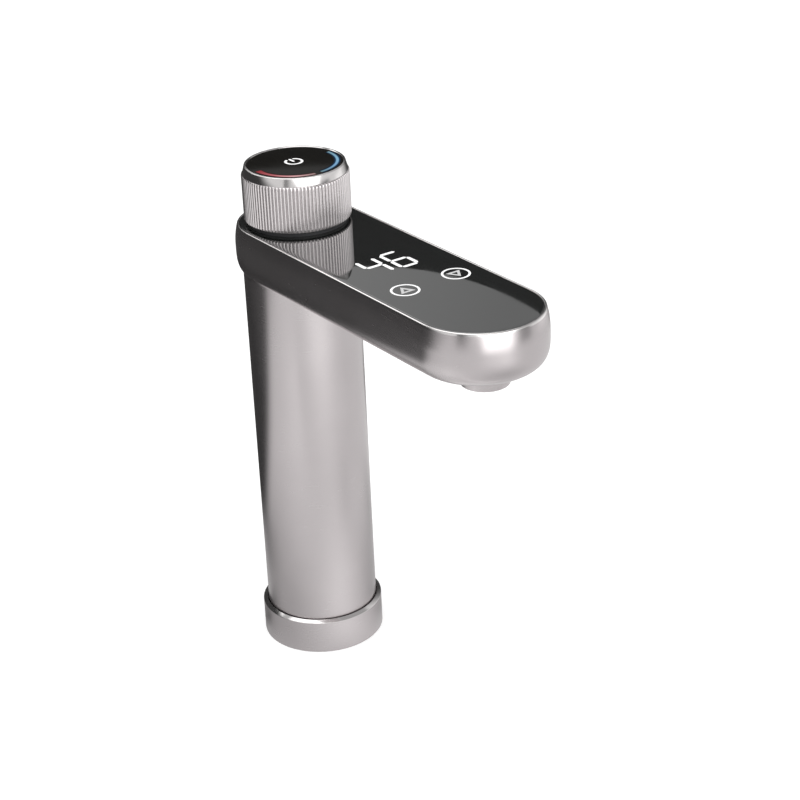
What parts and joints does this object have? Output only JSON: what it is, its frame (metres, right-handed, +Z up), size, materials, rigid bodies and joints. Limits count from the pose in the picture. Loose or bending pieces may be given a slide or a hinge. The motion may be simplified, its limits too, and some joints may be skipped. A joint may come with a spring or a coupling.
{
  "type": "water filter faucet",
  "caption": "Tall deck faucet for filtered water: round column that swivels, level spout with a dark glass display panel, and a ribbed dial with a glass push button on top.",
  "frame": {"origin": "on the worktop's top face, on the vertical axis of the column", "axes": "+Z up along the column, +X along the spout towards the outlet, +Y to the left of someone who looks along the spout from the column"},
  "size_m": [0.1711, 0.054, 0.2911],
  "materials": {
    "satin_nickel": "fine satin, warm nickel tone",
    "bright_nickel": "polished",
    "black_glass": "gloss, opaque black from behind",
    "cast_brass": "machined",
    "black_rubber": "matte",
    "spring_steel": "bright drawn",
    "white_acetal": "smooth",
    "black_nylon": "smooth",
    "board_green": "solder mask",
    "display_white": "diffusing",
    "clear_acrylic": "clear",
    "bonded_magnet": "smooth"
  },
  "bodies": {
    "base": {"base_ring": "satin_nickel", "deck_gasket": "black_rubber", "threaded_shank": "cast_brass", "rubber_washer": "black_rubber", "steel_washer": "spring_steel", "lock_nut": "cast_brass", "shank_plug": "black_nylon", "riser_tube": "spring_steel", "inlet_nipple": "cast_brass", "swivel_hub": "cast_brass", "thrust_washer": "white_acetal", "swivel_orings": "black_rubber", "hub_circlip": "spring_steel", "stop_pin": "spring_steel"},
    "column": {"column_tube": "satin_nickel", "column_foot": "white_acetal", "coupling_sleeve": "cast_brass", "spout_shell": "satin_nickel", "water_manifold": "white_acetal", "riser_orings": "black_rubber", "temperature_sensor": "spring_steel", "outlet_pipe": "spring_steel", "outlet_elbow": "white_acetal", "elbow_oring": "black_rubber", "aerator_housing": "satin_nickel", "aerator_insert": "white_acetal", "aerator_washer": "black_rubber", "glass_panel": "black_glass", "panel_gasket": "black_rubber", "control_board": "board_green", "board_screws": "spring_steel", "board_connector": "white_acetal", "display_module": "display_white", "touch_pads": "black_rubber", "dial_post": "black_nylon", "post_nut": "cast_brass", "dial_bush": "white_acetal", "dial_circlip": "spring_steel", "dial_board": "board_green", "push_switch": "black_nylon", "hall_sensors": "black_nylon", "return_spring": "spring_steel"},
    "dial": {"dial_sleeve": "satin_nickel", "dial_bezel": "bright_nickel", "dial_carrier": "white_acetal", "magnet_ring": "bonded_magnet"},
    "button": {"button_glass": "black_glass", "button_core": "black_nylon", "light_guide": "clear_acrylic"}
  },
  "joints": [
    {"name": "spout_swivel", "type": "hinge", "parent": "base", "child": "column", "pos_m": [0, 0, 0], "axis": [0, 0, 1], "range_deg": [-70, 70]},
    {"name": "dial_turn", "type": "hinge", "parent": "column", "child": "dial", "pos_m": [0, 0, 0.19], "axis": [0, 0, 1], "range_deg": [-90, 90]},
    {"name": "button_press", "type": "slide", "parent": "column", "child": "button", "axis": [0, 0, -1], "range_m": [0, 0.0008], "stiffness_N_per_m": 800, "springref_m": -0.0006, "deforming": ["return_spring"]}
  ]
}
